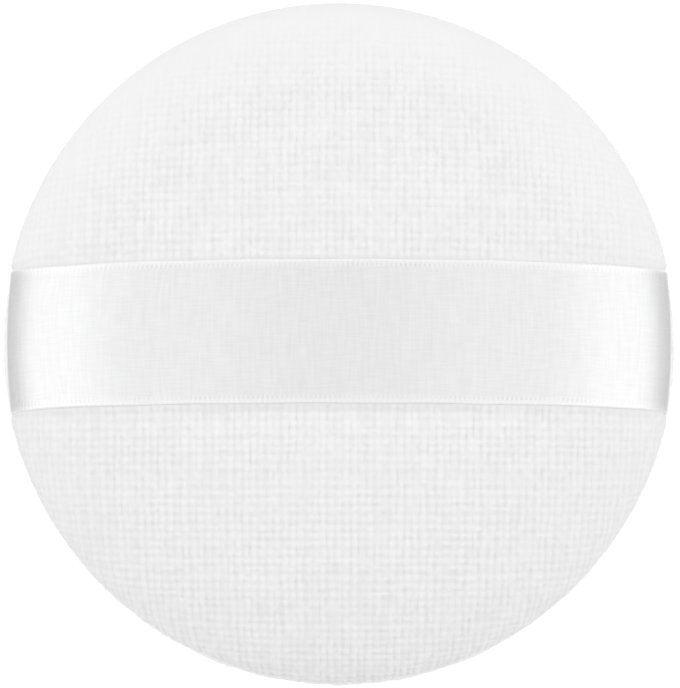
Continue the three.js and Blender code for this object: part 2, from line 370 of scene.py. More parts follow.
def swellBack():
    rows, around, grow = swellSettings["rows"], swellSettings["around"], swellSettings["grow"]
    line = backLine()
    lengths = lineLengths(line)
    stops = np.linspace(0, lengths[-1], rows)
    mesh = spinLine("swelling_skin", pointsAt(line, lengths, stops), around)
    flat = readPoints(mesh)
    start = pressUnderRibbon(flat)
    writePoints(mesh, start * grow)
    holder = addObject("swelling_skin", mesh)
    radius, angle = np.hypot(flat[:, 0], flat[:, 1]), np.arctan2(flat[:, 1], flat[:, 0])
    domeTop = line[: len(line) - rollSteps]
    onDome = np.abs(np.interp(radius, *domeTop.T) - flat[:, 2]) < swellSettings["onDome"]
    lowDome = flat[:, 2] < puffForm["backRing"] + swellSettings["heldRise"]
    held = ~onDome | lowDome | (np.abs(flat[:, 1]) < ribbonForm["width"] / 2)
    group = holder.vertex_groups.new(name="held")
    group.add([int(i) for i in np.nonzero(held)[0]], 1.0, "REPLACE")
    cloth = holder.modifiers.new("cloth", "CLOTH")
    settings = cloth.settings
    settings.vertex_group_mass = "held"
    settings.use_pressure = True
    settings.uniform_pressure_force = swellSettings["pressure"]
    settings.effector_weights.gravity = 0
    settings.quality = swellSettings["quality"]
    cloth.point_cache.frame_end = swellSettings["frames"]
    for step in range(1, swellSettings["frames"] + 1):
        scene.frame_set(step)
    shaped = holder.evaluated_get(bpy.context.evaluated_depsgraph_get()).to_mesh()
    moved = readPoints(shaped) / grow - start
    scene.frame_set(1)
    bpy.data.objects.remove(holder)
    bpy.data.meshes.remove(mesh)
    distance = np.where(onDome, np.interp(radius, domeTop[:, 0], lengths[: len(domeTop)]), lengths[-1])
    ray = np.stack([np.cos(angle), np.sin(angle)], 1)
    _, outs, _ = wrapCloth(ray * distance[:, None], line, 1)
    rise = (moved * outs).sum(1)
    print("back swells by", round(rise.max() / mm, 2), "mm at most, before the cap")
    table = np.zeros((rows, around))
    row = np.rint(distance / lengths[-1] * (rows - 1)).astype(int)
    column = np.rint(angle / (2 * math.pi) * around).astype(int) % around
    table[row, column] = np.clip(rise, 0, swellSettings["cap"])
    table[0] = 0  # the pole lies under the ribbon
    table = np.round(table, 6)  # the solver's last digits vary
    finer = swellSettings["finer"]
    fineStops = np.linspace(0, lengths[-1], finer * (rows - 1) + 1)
    table = pointsAt(table, stops, fineStops)
    turns, coarse = np.arange(finer * around) / finer, np.arange(around + 1)
    table = np.stack([np.interp(turns, coarse, np.append(values, values[0])) for values in table])
    for _ in range(2 * finer):
        table = (np.roll(table, 1, 1) + 2 * table + np.roll(table, -1, 1)) / 4
        table[1:-1] = (table[:-2] + 2 * table[1:-1] + table[2:]) / 4
    return fineStops, table


def swellAt(stops, table, distance, angle):
    around = table.shape[1]
    row = np.interp(distance, stops, np.arange(len(stops)))
    low = np.minimum(row.astype(int), len(stops) - 2)
    column = (angle / (2 * math.pi)) % 1 * around
    left = column.astype(int) % around
    right = (left + 1) % around
    a, b = row - low, column - np.floor(column)
    near = between(table[low, left], table[low, right], b)
    far = between(table[low + 1, left], table[low + 1, right], b)
    return between(near, far, a)


# plain weave of uneven soft threads: each is a low ridge, and nap fills the gaps between them more or less
weave = {
    "warpPitch": 0.885 * mm,
    "weftPitch": 0.97 * mm,
    "warpWide": 0.92,  # width of a ridge at its foot, as a share of the pitch
    "weftWide": 0.88,
    "relief": 0.31 * mm,
    "crimp": 0.2,  # how much a thread rises where it goes over
    "wander": 0.11 * mm,
    "shift": 0.6,  # how far whole threads lie off their places, in wanders
    "sway": ((0.6, 1.9 * mm), (0.4, 0.7 * mm)),  # bends of a thread, in wanders, and their runs
    "body": (0.92, 0.24, 0.4, 1.2),  # how full a thread is: mean, spread, least and most
    "slub": (0.18, 1.3 * mm),  # how much its width varies, and over which run
    "fray": ((0.26, 2.7 * mm), (0.2, 0.9 * mm)),  # the same for its height
    "round": 2.2,  # power of a ridge's section
    "napCells": 128,  # the nap repeats after this many gaps
    "nap": (0.5, -1, 0.2),  # spread, least and most: it fills some gaps, and leaves others a little deeper
    "shares": (0.5, 0.34, 0.36),  # of warp, weft and nap in the depth of a gap
    "deepest": 1.2,
    "seed": 7,
}


def threadRidge(across, along, pitch, crossPitch, wide, sign, maker):
    count = int(np.abs(across).max() / pitch) + 3
    last = 2 * count
    mean, spread, least, most = weave["body"]
    shift = maker.normal(0, weave["shift"], last + 1)
    body = np.clip(maker.normal(mean, spread, last + 1), least, most)
    phase = maker.uniform(0, 2 * math.pi, (5, last + 1))
    index = np.clip(np.rint(across / pitch).astype(int) + count, 0, last)
    for _ in range(2):
        sway = shift[index]
        for bend, (size, run) in enumerate(weave["sway"]):
            sway = sway + size * np.sin(along / run + phase[bend][index])
        centre = (index - count) * pitch + sway * weave["wander"]
        index = np.clip(index + np.rint((across - centre) / pitch).astype(int), 0, last)
    size, run = weave["slub"]
    slub = 1 + size * np.sin(along / run + phase[2][index])
    fray = 1
    for bend, (size, run) in enumerate(weave["fray"]):
        fray = fray + size * np.sin(along / run + phase[3 + bend][index])
    off = np.clip(np.abs(across - centre) / (0.5 * pitch * wide * slub), 0, 1)
    ridge = np.clip(body[index] * fray, 0, 1) * (1 - off ** weave["round"])
    over = sign * np.cos(math.pi * along / crossPitch) * np.where(index % 2 == count % 2, 1, -1)
    return ridge, over


# depth of the gaps between the threads, 0 on a thread and 1 in an open gap
def weaveGap(flat):
    maker = np.random.default_rng(weave["seed"])
    u, v = flat.T
    warpPitch, weftPitch, cells = weave["warpPitch"], weave["weftPitch"], weave["napCells"]
    warp, over = threadRidge(u, v, warpPitch, weftPitch, weave["warpWide"], 1, maker)
    weft, under = threadRidge(v, u, weftPitch, warpPitch, weave["weftWide"], -1, maker)
    spread, least, most = weave["nap"]
    nap = np.clip(maker.normal(0, spread, (cells, cells)), least, most)
    column = np.floor(u / warpPitch).astype(int) % cells
    row = np.floor(v / weftPitch).astype(int) % cells
    warpShare, weftShare, napShare = weave["shares"]
    gap = warpShare * (1 - warp) + weftShare * (1 - weft)
    gap = gap + napShare * (1 - warp) * (1 - weft) * nap[column, row]
    return np.clip(gap - weave["crimp"] * (warp * over + weft * under), 0, weave["deepest"])


stitchLength = 3.3 * mm  # of the round seam


# the seam gathers the cloth beside it into a pucker at each stitch
def puckerAt(distance, angle, reach, settings):
    begin, full = settings["puckerRun"]
    nearSeam = smoothStep(distance, reach - begin, reach - full)
    pleats = np.cos(angle * 2 * math.pi * puffForm["rim"] / stitchLength)
    return (pleats - 1) * 0.5 * settings["pucker"] * nearSeam


def placeLining(points, rings, angle, lining):
    for index, (radius, level) in enumerate(lining):
        rows = rings == index + 1
        points[rows, 0] = np.cos(angle[rows]) * radius
        points[rows, 1] = np.sin(angle[rows]) * radius
        points[rows, 2] = level


backSettings = {
    "spacing": 0.165 * mm,
    "liningTurns": (72, 54, 36, 18, 5),  # degrees from the crown
    "tuck": 1.5,  # thicknesses of cloth from the rim to where the turned-in edge meets the lining
    "pucker": 0.1 * mm,
    "puckerRun": (2.6 * mm, 0.6 * mm),  # from the seam, where puckers begin and where they are full
    "brushed": (0.47, 0.45),  # share of the weave's relief and of its painted gap shade that nap hides at the rim, and how much more at the far rim, which so comes out smoother and lighter
    "brushedRun": (0.6, 0.88),  # shares of the way from the crown to the seam
    "free": (0.1 * mm, 0.6 * mm),  # the ribbon presses the threads flat, and beyond this run they are free
    "pressedRelief": 0.12,  # share of the weave's depth left under the ribbon
    "pressedGapShade": 0.7,  # and of the weave's painted gap shade
    "paintedShadow": 0.58,  # painted shadow of the ribbon's edges: the cloth beside them is painted this much darker
    "shadowUnder": (-0.8 * mm, -0.2 * mm),  # it begins this far inside the ribbon's edge
    "shadowFront": 1.3 * mm,  # and ends this far from the front edge
    "shadowBack": 0.6 * mm,  # and from the far edge
    "shadowFull": 0.4,  # share of that way with full crush
    "shadowEnds": (6 * mm, 28 * mm),  # it is less from the first distance along the ribbon to the second
    "shadowLess": 0.65,
}


def makeBackCover(material):
    line = backLine()
    reach = lineLengths(line)[-1]
    ring, crown, cloth = puffForm["backRing"], puffForm["backCrown"], puffForm["backCloth"]
    lining = liningRings(line[-1, 1], ring, crown, cloth, 1, backSettings)
    mesh, flat, rings = cutCover("back_cotton", reach, backSettings["spacing"], len(lining))
    points, outs, distance = wrapCloth(flat, line, 1)
    angle = np.arctan2(flat[:, 1], flat[:, 0])
    stops, table = swellBack()
    fromRibbon = points[:, 1] - ribbonForm["offset"]
    offRibbon = np.abs(fromRibbon) - ribbonForm["width"] / 2
    swell = swellAt(stops, table, distance, angle) * smoothStep(offRibbon, 0, swellSettings["beside"])
    gap = weaveGap(flat)
    hidden, hiddenMore = backSettings["brushed"]
    brushedFrom, brushedTo = backSettings["brushedRun"]
    brushed = hidden + hiddenMore * np.sin(angle)
    fade = 1 - brushed * smoothStep(distance, brushedFrom * reach, brushedTo * reach)
    free = smoothStep(offRibbon, *backSettings["free"])
    relief = -gap * weave["relief"] * fade * between(backSettings["pressedRelief"], 1, free)
    pucker = puckerAt(distance, angle, reach, backSettings)
    points = points + outs * (swell + relief + pucker)[:, None]
    placeLining(points, rings, angle, lining)
    writePoints(mesh, drawIn(pressUnderRibbon(points)))
    turnOutwards(mesh)
    layMap(mesh, flat, rings, reach)
    # painted shadow of the ribbon's edges on the cloth: a darker band, wider below the front edge, weaker
    # towards the ribbon's ends
    shadowRun = np.where(fromRibbon < 0, backSettings["shadowFront"], backSettings["shadowBack"])
    paintedShadow = 1 - smoothStep(offRibbon, backSettings["shadowFull"] * shadowRun, shadowRun)
    paintedShadow = paintedShadow * smoothStep(offRibbon, *backSettings["shadowUnder"])
    atEnds = smoothStep(np.abs(points[:, 0]), *backSettings["shadowEnds"])
    paintedShadow = backSettings["paintedShadow"] * paintedShadow * (1 - backSettings["shadowLess"] * atEnds)
    # painted shade in the weave gaps, less under the ribbon, plus the painted shadow beside it, stored as the
    # gap value that the cotton's colour reads
    shade = gap * fade * between(backSettings["pressedGapShade"], 1, free) + paintedShadow
    storeValue(mesh, "gap", np.where(rings > 0, 0, shade))
    piece = addObject("back_cotton", mesh, material)
    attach(piece, "puff")
    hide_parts("back_cover")
    print("back cover", len(mesh.vertices), "points")


# short dense pile, drawn as clumps
plush = {
    "spacing": 0.3 * mm,
    "liningTurns": (80, 65, 50),  # degrees from the middle of the face
    "tuck": 1.3,
    "liningFlat": 16 * mm,  # where the lining comes to the flat
    "clump": 1.1 * mm,
    "clumpShare": 0.5,
    "fine": 0.5 * mm,
    "fineShare": 0.45,
    "finePlace": (7, 3, 1),  # keeps the fine noise apart from the clumps
    "relief": 0.3 * mm,
    "pucker": 0.15 * mm,
    "puckerRun": (3.4 * mm, 0.8 * mm),
}


def makeFaceCover(material):
    line = faceLine()
    reach = lineLengths(line)[-1]
    ring, bulge, cloth = puffForm["faceRing"], puffForm["faceBulge"], puffForm["facePlush"]
    lining = liningRings(line[-1, 1], ring, bulge, cloth, -1, plush)
    lining.append((plush["liningFlat"], cloth))
    mesh, flat, rings = cutCover("face_plush", reach, plush["spacing"], len(lining))
    points, outs, distance = wrapCloth(flat, line, -1)
    angle = np.arctan2(flat[:, 1], flat[:, 0])
    places = [Vector(p) for p in points.tolist()]
    apart = Vector(plush["finePlace"])
    clumps = np.array([noise.noise(place / plush["clump"]) for place in places])
    fine = np.array([noise.noise(place / plush["fine"] + apart) for place in places])
    pile = np.clip(0.5 + plush["clumpShare"] * clumps + plush["fineShare"] * fine, 0, 1)
    pucker = puckerAt(distance, angle, reach, plush)
    points = points + outs * ((pile - 1) * plush["relief"] + pucker)[:, None]
    placeLining(points, rings, angle, lining)
    writePoints(mesh, drawIn(points))
    turnOutwards(mesh)
    layMap(mesh, flat, rings, reach)
    storeValue(mesh, "pile", np.where(rings > 0, 1, pile))
    piece = addObject("face_velour", mesh, material)
    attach(piece, "puff")
    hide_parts("face_cover")
    print("face cover", len(mesh.vertices), "points")


# foam pad that fills both covers, with a groove round its edge for the turned-in cloth
sponge = {
    "backInset": 1.3 * mm,
    "faceInset": 1.9 * mm,
    "grooveEdge": 31.8 * mm,
    "grooveLow": 7.845 * mm,
    "grooveHigh": 12.455 * mm,
    "faceSteps": 200,  # points on its outline below the groove, and above it
    "backSteps": 300,
    "spacing": 0.55 * mm,
    "around": 320,
    "pore": 0.9 * mm,  # a few cells together, so that the pores show
    "poreContrast": 0.9,
    "relief": 0.16 * mm,
}


def makeSponge(material):
    rim, ring, faceRing = puffForm["rim"], puffForm["backRing"], puffForm["faceRing"]
    wideBack, highBack = rim - sponge["backInset"], puffForm["backCrown"] - sponge["backInset"]
    wideFace, deepFace = rim - sponge["faceInset"], puffForm["faceBulge"] - sponge["faceInset"]
    flat = math.acos((faceRing - sponge["faceInset"]) / deepFace)
    grooveTurn = math.acos((faceRing - sponge["grooveLow"]) / deepFace)
    turn = np.linspace(flat, grooveTurn, sponge["faceSteps"])
    below = np.stack([wideFace * np.sin(turn), faceRing - deepFace * np.cos(turn)], 1)
    grooveTurn = math.acos((sponge["grooveHigh"] - ring) / highBack)
    turn = np.linspace(grooveTurn, 0, sponge["backSteps"])
    above = np.stack([wideBack * np.sin(turn), ring + highBack * np.cos(turn)], 1)
    groove = [(sponge["grooveEdge"], sponge["grooveLow"]), (sponge["grooveEdge"], sponge["grooveHigh"])]
    line = np.concatenate([[(0, sponge["faceInset"])], below, groove, above])
    lengths = lineLengths(line)
    corners = np.cumsum([1, len(below) - 1, 1, 1, 1]) - 1  # places where the line turns sharply
    stops = np.unique(np.append(np.arange(0, lengths[-1], sponge["spacing"]), lengths[corners]))
    stops = np.append(stops, lengths[-1])
    mesh = spinLine("foam_pad", pointsAt(line, lengths, stops), sponge["around"])
    points = readPoints(mesh)
    normals = np.empty(len(mesh.vertices) * 3, dtype=np.float32)
    mesh.vertex_normals.foreach_get("vector", normals)
    pores = np.array([noise.noise(Vector(p) / sponge["pore"]) for p in points.tolist()])
    pores = np.clip(0.5 + sponge["poreContrast"] * pores, 0, 1)
    points = points - normals.reshape(-1, 3) * (pores * sponge["relief"])[:, None]
    pressed = pressUnderRibbon(points)
    points = np.where(points[:, 2:] > puffForm["seam"], pressed, points)
    writePoints(mesh, drawIn(points))
    storeValue(mesh, "pore", pores)
    piece = addObject("foam_pad", mesh, material)
    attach(piece, "puff")
    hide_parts("sponge_core")
    print("foam pad", len(mesh.vertices), "points")


# sewing thread of two plies twisted round each other
thread = {
    "wide": 0.4 * mm,
    "twist": 1.1 * mm,
    "step": 0.13 * mm,
    "pressed": 1.08,  # the plies are this much thicker than would fit, because they press into each other
    "curveSteps": 10,  # steps from one turn of a hand or zigzag stitch to the next
}
seamStitch = {"ring": 36.6 * mm, "count": 70, "steps": 16, "rise": 0.3 * mm, "seat": 0.055 * mm}
tackStitch = {"outer": 34.7 * mm, "inner": 32.7 * mm, "length": 14 * mm, "turns": 12, "seat": 0.2 * mm}
closingStitch = {"ring": 38.55 * mm, "length": 30 * mm, "turns": 20, "high": 0.31 * mm, "low": 0.52 * mm}


def smoothPath(turns):
    line = bpy.data.curves.new("path", "CURVE")
    line.dimensions = "3D"
    line.resolution_u = thread["curveSteps"]
    spline = line.splines.new("BEZIER")
    spline.bezier_points.add(len(turns) - 1)
    for knot, place in zip(spline.bezier_points, turns):
        knot.co = place / mm
        knot.handle_left_type = knot.handle_right_type = "AUTO"
    holder = bpy.data.objects.new("path", line)
    path = readPoints(holder.to_mesh()) * mm
    holder.to_mesh_clear()
    bpy.data.objects.remove(holder)
    bpy.data.curves.remove(line)
    return path


def twistThread(name, node, path, material, closed=False, outwards=False):
    if closed:
        path = np.concatenate([path, path[:1]])
    lengths = lineLengths(path)
    stops = np.linspace(0, lengths[-1], round(lengths[-1] / thread["step"]) + 1)
    path = pointsAt(path, lengths, stops)
    along = np.gradient(path, axis=0)
    if closed:
        along[0] = along[-1] = path[1] - path[-2]
    along /= np.linalg.norm(along, axis=1)[:, None]
    side = np.cross(along, path * (1, 1, 0) if outwards else (0, 0, 1))
    side /= np.linalg.norm(side, axis=1)[:, None]
    over = np.cross(side, along)
    turn = 2 * math.pi * stops / lengths[-1] * round(lengths[-1] / thread["twist"])
    ply = thread["wide"] / 4  # radius of one of the two
    plies = bpy.data.curves.new(name, "CURVE")
    plies.dimensions = "3D"
    plies.bevel_depth = ply * thread["pressed"]
    plies.bevel_resolution = 1
    plies.use_fill_caps = True
    for half in (0, math.pi):
        offset = np.cos(turn + half)[:, None] * side + np.sin(turn + half)[:, None] * over
        points = path + offset * ply
        points = points[:-1] if closed else points
        spline = plies.splines.new("POLY")
        spline.points.add(len(points) - 1)
        spline.points.foreach_set("co", np.insert(points, 3, 1, axis=1).astype(np.float32).ravel())
        spline.use_cyclic_u = closed
    holder = bpy.data.objects.new(name, plies)
    mesh = bpy.data.meshes.new_from_object(holder)
    mesh.name = name
    bpy.data.objects.remove(holder)
    turnOutwards(mesh)
    mesh.materials.clear()
    piece = addObject(name, mesh, material)
    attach(piece, "puff")
    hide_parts(node)
    print(name, len(mesh.vertices), "points")


def makeThreads(material):
    backFlange = puffForm["seam"] + puffForm["seamGap"] / 2 + puffForm["backCloth"]
    faceFlange = puffForm["seam"] - puffForm["seamGap"] / 2 - puffForm["facePlush"]
    around = np.linspace(0, 2 * math.pi, seamStitch["count"] * seamStitch["steps"], endpoint=False)
    arch = seamStitch["seat"] + seamStitch["rise"] * np.sin(around * seamStitch["count"] / 2) ** 2
    ring = np.stack([np.cos(around), np.sin(around)], 1) * seamStitch["ring"]
    above = drawIn(pressUnderRibbon(np.insert(ring, 2, backFlange + arch, axis=1)))
    below = drawIn(np.insert(ring, 2, faceFlange - arch, axis=1))
    twistThread("needle_thread", "seam_needle_thread", above, material, closed=True)
    twistThread("bobbin_thread", "seam_bobbin_thread", below, material, closed=True)
    step = np.arange(tackStitch["turns"] + 1)
    across = tackStitch["length"] * (step / tackStitch["turns"] - 0.5)
    radius = np.where(step % 2 == 0, tackStitch["outer"], tackStitch["inner"])
    for side, hand in ((1, "right"), (-1, "left")):
        reach = side * np.sqrt(radius**2 - across**2)
        turns = np.stack([reach, across, np.full(len(step), backFlange + tackStitch["seat"])], 1)
        path = drawIn(pressUnderRibbon(smoothPath(turns)))
        twistThread(f"{hand}_tack", f"{hand}_ribbon_tack", path, material)
    closingRing, rungs = closingStitch["ring"], closingStitch["turns"]
    step = np.repeat(np.arange(rungs + 1), 2)  # up or down a rung, then along inside a fold
    around = math.pi / 2 + closingStitch["length"] / closingRing * (step / rungs - 0.5)
    isHigh = (np.arange(len(step)) + 1) // 2 % 2 == 1
    height = puffForm["seam"] + np.where(isHigh, closingStitch["high"], -closingStitch["low"])
    turns = np.stack([closingRing * np.cos(around), closingRing * np.sin(around), height], 1)
    path = drawIn(smoothPath(turns))
    twistThread("ladder_stitch", "closing_stitches", path, material, outwards=True)


# the ribbon's way from the crown: turns and lengths along the arc to the rim, then roll and run of the bend
def ribbonWay():
    rim, crown = puffForm["rim"], puffForm["backCrown"]
    turns = np.linspace(0, math.pi / 2, arcSteps)
    middle = ribbonForm["lift"] + ribbonForm["thickness"] / 2
    arc = np.stack([(rim + middle) * np.sin(turns), (crown + middle) * np.cos(turns)], 1)
    roll = puffForm["backRing"] - puffForm["seam"] - puffForm["seamGap"] / 2
    return turns, lineLengths(arc), roll, (roll + middle) * math.pi / 2


# where a place on the flat ribbon comes to lie: along from its middle, across, and out from the back
def ribbonPlace(along, across, out):
    rim, crown, ring = puffForm["rim"], puffForm["backCrown"], puffForm["backRing"]
    turns, lengths, roll, bendRun = ribbonWay()
    side, run = np.sign(along), np.abs(along)
    turn = np.interp(run, lengths, turns)
    reach = np.sqrt((rim + out) ** 2 - across**2)
    overX = reach * np.sin(turn)
    overZ = ring + (crown + out) * reach / (rim + out) * np.cos(turn)
    bend = np.clip((run - lengths[-1]) / bendRun, 0, 1) * math.pi / 2
    tab = np.maximum(run - lengths[-1] - bendRun, 0)
    bendX = np.sqrt((rim - roll + (roll + out) * np.cos(bend)) ** 2 - across**2) - tab
    bendZ = ring - (roll + out) * np.sin(bend)
    inBend = run > lengths[-1]
    x = side * np.where(inBend, bendX, overX)
    z = np.where(inBend, bendZ, overZ)
    return drawIn(pressUnderRibbon(np.stack([x, across, z], 1)))


def ribbonLength():
    _, lengths, roll, bendRun = ribbonWay()
    tab = puffForm["rim"] - roll - puffForm["allowanceEdge"]
    return 2 * (lengths[-1] + bendRun + tab)


# the upper side and the under side are two strips, each with its length along U
def layRibbonMap(mesh, along, across, under, length, width):
    corners, below = readCorners(mesh, under)
    u = 0.5 + bakeMap["stripLength"] * along[corners] / length
    v = np.where(below, *bakeMap["stripMiddles"]) + bakeMap["stripWidth"] * across[corners] / width
    storeMap(mesh, np.stack([u, v], 1))


def makeRibbon(material):
    width, length = ribbonForm["width"], ribbonLength()
    rows = round(length / ribbonForm["rowStep"])
    strip = bmesh.new()
    underLayer = strip.verts.layers.int.new("under")
    bmesh.ops.create_grid(strip, x_segments=rows, y_segments=ribbonForm["columns"], size=1)
    made = bmesh.ops.extrude_face_region(strip, geom=strip.faces[:], use_keep_orig=True)["geom"]
    for v in made:
        if isinstance(v, bmesh.types.BMVert):
            v[underLayer] = 1
    mesh = meshFrom(strip, "finger_satin")
    grid, under = readPoints(mesh), readMarks(mesh, "under")
    along = grid[:, 0] * length / 2
    gather = ribbonForm["gather"]
    across = ((1 + gather) * grid[:, 1] - gather * grid[:, 1] ** 3) * width / 2
    edgeSide = np.sign(across)
    inset = width / 2 - np.abs(across)
    bead = np.sqrt(np.clip(1 - (inset / ribbonForm["selvedge"] * 2 - 1) ** 2, 0, 1))
    dip, selvedge, reach = ribbonForm["scallopDip"], ribbonForm["selvedge"], ribbonForm["tickReach"]
    bead = bead * (1 - dip + dip * np.cos(2 * math.pi * along / ribbonForm["scallop"]))
    inTicks = smoothStep(inset, selvedge, selvedge + ribbonForm["tickStart"])
    inTicks = inTicks * (1 - smoothStep(inset, reach - ribbonForm["tickStop"], reach))
    varies = ribbonForm["tickUneven"]
    oneRun, otherRun = ribbonForm["tickRuns"]
    uneven = 1 - varies + varies * np.sin(along / oneRun) * np.sin(along / otherRun + 2 * edgeSide)
    ticks = np.clip(np.cos(2 * math.pi * along / ribbonForm["tickPitch"] + edgeSide), 0, 1)
    slot = ticks * inTicks * uneven
    full = np.sqrt(1 - (1 - np.clip(inset / ribbonForm["edgeRoll"], 0, 1)) ** 2)
    thick = between(ribbonForm["edgeThickness"], ribbonForm["thickness"], full)
    thick = thick + bead * ribbonForm["selvedgeRise"] - slot * ribbonForm["tickDepth"]
    out = ribbonForm["lift"] + np.where(under > 0, 0, thick)
    wave = ribbonForm["waver"] * np.sin(along / ribbonForm["waverRun"]) * edgeSide
    wave = wave * (np.abs(across) / (width / 2)) ** ribbonForm["waverPower"]
    writePoints(mesh, ribbonPlace(along, across + wave + ribbonForm["offset"], out))
    turnOutwards(mesh)
    storeValue(mesh, "along", along)
    storeValue(mesh, "across", across)
    storeValue(mesh, "slot", slot)
    # the stored bead value paints the selvedge lighter: a painted highlight on the raised bead and the weft
    # turns between the ticks
    storeValue(mesh, "bead", np.maximum(bead, ribbonForm["tickShine"] * inTicks * (1 - slot)))
    layRibbonMap(mesh, along, across, under, length, width)
    piece = addObject("finger_satin", mesh, material)
    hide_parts("finger_ribbon", "ribbon_left_end", "ribbon_right_end")
    print("ribbon", len(mesh.vertices), "points,", round(length / mm, 1), "mm long")
    return piece


# fine fibres, drawn coarser than they are so that they show: their pattern, and the normal that it gives
def addFibres(tree, place, run, strength, depth):
    fibres = addNode(tree, "ShaderNodeTexNoise", inputs={"Vector": place, "Scale": 1 / run, "Detail": 3.0})
    pattern = fibres.outputs["Fac"]
    bump = addNode(
        tree, "ShaderNodeBump", inputs={"Strength": strength, "Distance": depth, "Height": pattern})
    return pattern, bump.outputs["Normal"]


# open plain weave of soft spun cotton, brushed: matt, a faint bloom at a slant, with painted shade in the
# gaps and a painted shadow beside the ribbon
def cottonShader(tree):
    gap = addNode(tree, "ShaderNodeAttribute", {"attribute_name": "gap"}).outputs["Fac"]
    place = addNode(tree, "ShaderNodeTexCoord").outputs["Object"]
    cloud = addNode(
        tree, "ShaderNodeTexNoise",
        inputs={"Vector": place, "Scale": 1 / (7 * mm), "Detail": 2.0})
    tint = addNode(
        tree, "ShaderNodeMix", colourMix,
        {0: cloud.outputs["Fac"], 6: linear("ededed"), 7: linear("f0f0f0")})
    # painted shade: darker by the stored gap value, in the weave's gaps and beside the ribbon
    shade = addNode(tree, "ShaderNodeMix", colourMix, {0: gap, 6: tint.outputs[2], 7: linear("e2e2e2")})
    _, nap = addFibres(tree, place, run=0.3 * mm, strength=0.25, depth=0.05 * mm)
    return addNode(tree, "ShaderNodeBsdfPrincipled", inputs={
        "Base Color": shade.outputs[2], "Roughness": 0.95, "IOR": 1.53, "Specular IOR Level": 0.25,
        "Sheen Weight": 0.12, "Sheen Roughness": 0.5, "Normal": nap})


# cotton velour: short dense pile, matt with a soft bloom at a slant, and painted shade where the pile lies
# lower
def velourShader(tree):
    pile = addNode(tree, "ShaderNodeAttribute", {"attribute_name": "pile"}).outputs["Fac"]
    place = addNode(tree, "ShaderNodeTexCoord").outputs["Object"]
    # painted shade: the pile is painted darker where it lies lower
    tint = addNode(tree, "ShaderNodeMix", colourMix, {0: pile, 6: linear("eeeeec"), 7: linear("fcfcfb")})
    _, nap = addFibres(tree, place, run=0.25 * mm, strength=0.5, depth=0.1 * mm)
    return addNode(tree, "ShaderNodeBsdfPrincipled", inputs={
        "Base Color": tint.outputs[2], "Roughness": 1.0, "IOR": 1.53, "Specular IOR Level": 0.15,
        "Sheen Weight": 0.3, "Sheen Roughness": 0.4, "Normal": nap})


# polyurethane foam: matt, with open cells whose pores are painted dark, as painted shade in them
def foamShader(tree):
    pore = addNode(tree, "ShaderNodeAttribute", {"attribute_name": "pore"}).outputs["Fac"]
    place = addNode(tree, "ShaderNodeTexCoord").outputs["Object"]
    # painted shade: the middle of each cell is painted darker, shown where the pad's surface is sunk
    cells = addNode(
        tree, "ShaderNodeTexVoronoi", {"feature": "F1"},
        {"Vector": place, "Scale": 1 / (0.6 * mm)})
    wall = addNode(
        tree, "ShaderNodeMix", colourMix,
        {0: cells.outputs["Distance"], 6: linear("d9d3c2"), 7: linear("f6f2e6")})
    shade = addNode(tree, "ShaderNodeMix", colourMix, {0: pore, 6: linear("f4f0e4"), 7: wall.outputs[2]})
    bump = addNode(
        tree, "ShaderNodeBump",
        inputs={"Strength": 0.6, "Distance": 0.2 * mm, "Height": cells.outputs["Distance"]})
    return addNode(tree, "ShaderNodeBsdfPrincipled", inputs={
        "Base Color": shade.outputs[2], "Roughness": 1.0, "IOR": 1.5, "Specular IOR Level": 0.2,
        "Normal": bump.outputs["Normal"]})


# spun polyester thread: soft gloss, with fine fibres that show in its tint too
def threadShader(tree):
    place = addNode(tree, "ShaderNodeTexCoord").outputs["Object"]
    fibres, relief = addFibres(tree, place, run=0.12 * mm, strength=0.4, depth=0.03 * mm)
    tint = addNode(tree, "ShaderNodeMix", colourMix, {0: fibres, 6: linear("e9e9e7"), 7: linear("f8f8f6")})
    return addNode(tree, "ShaderNodeBsdfPrincipled", inputs={
        "Base Color": tint.outputs[2], "Roughness": 0.6, "IOR": 1.57, "Specular IOR Level": 0.5,
        "Sheen Weight": 0.1, "Sheen Roughness": 0.4, "Normal": relief})


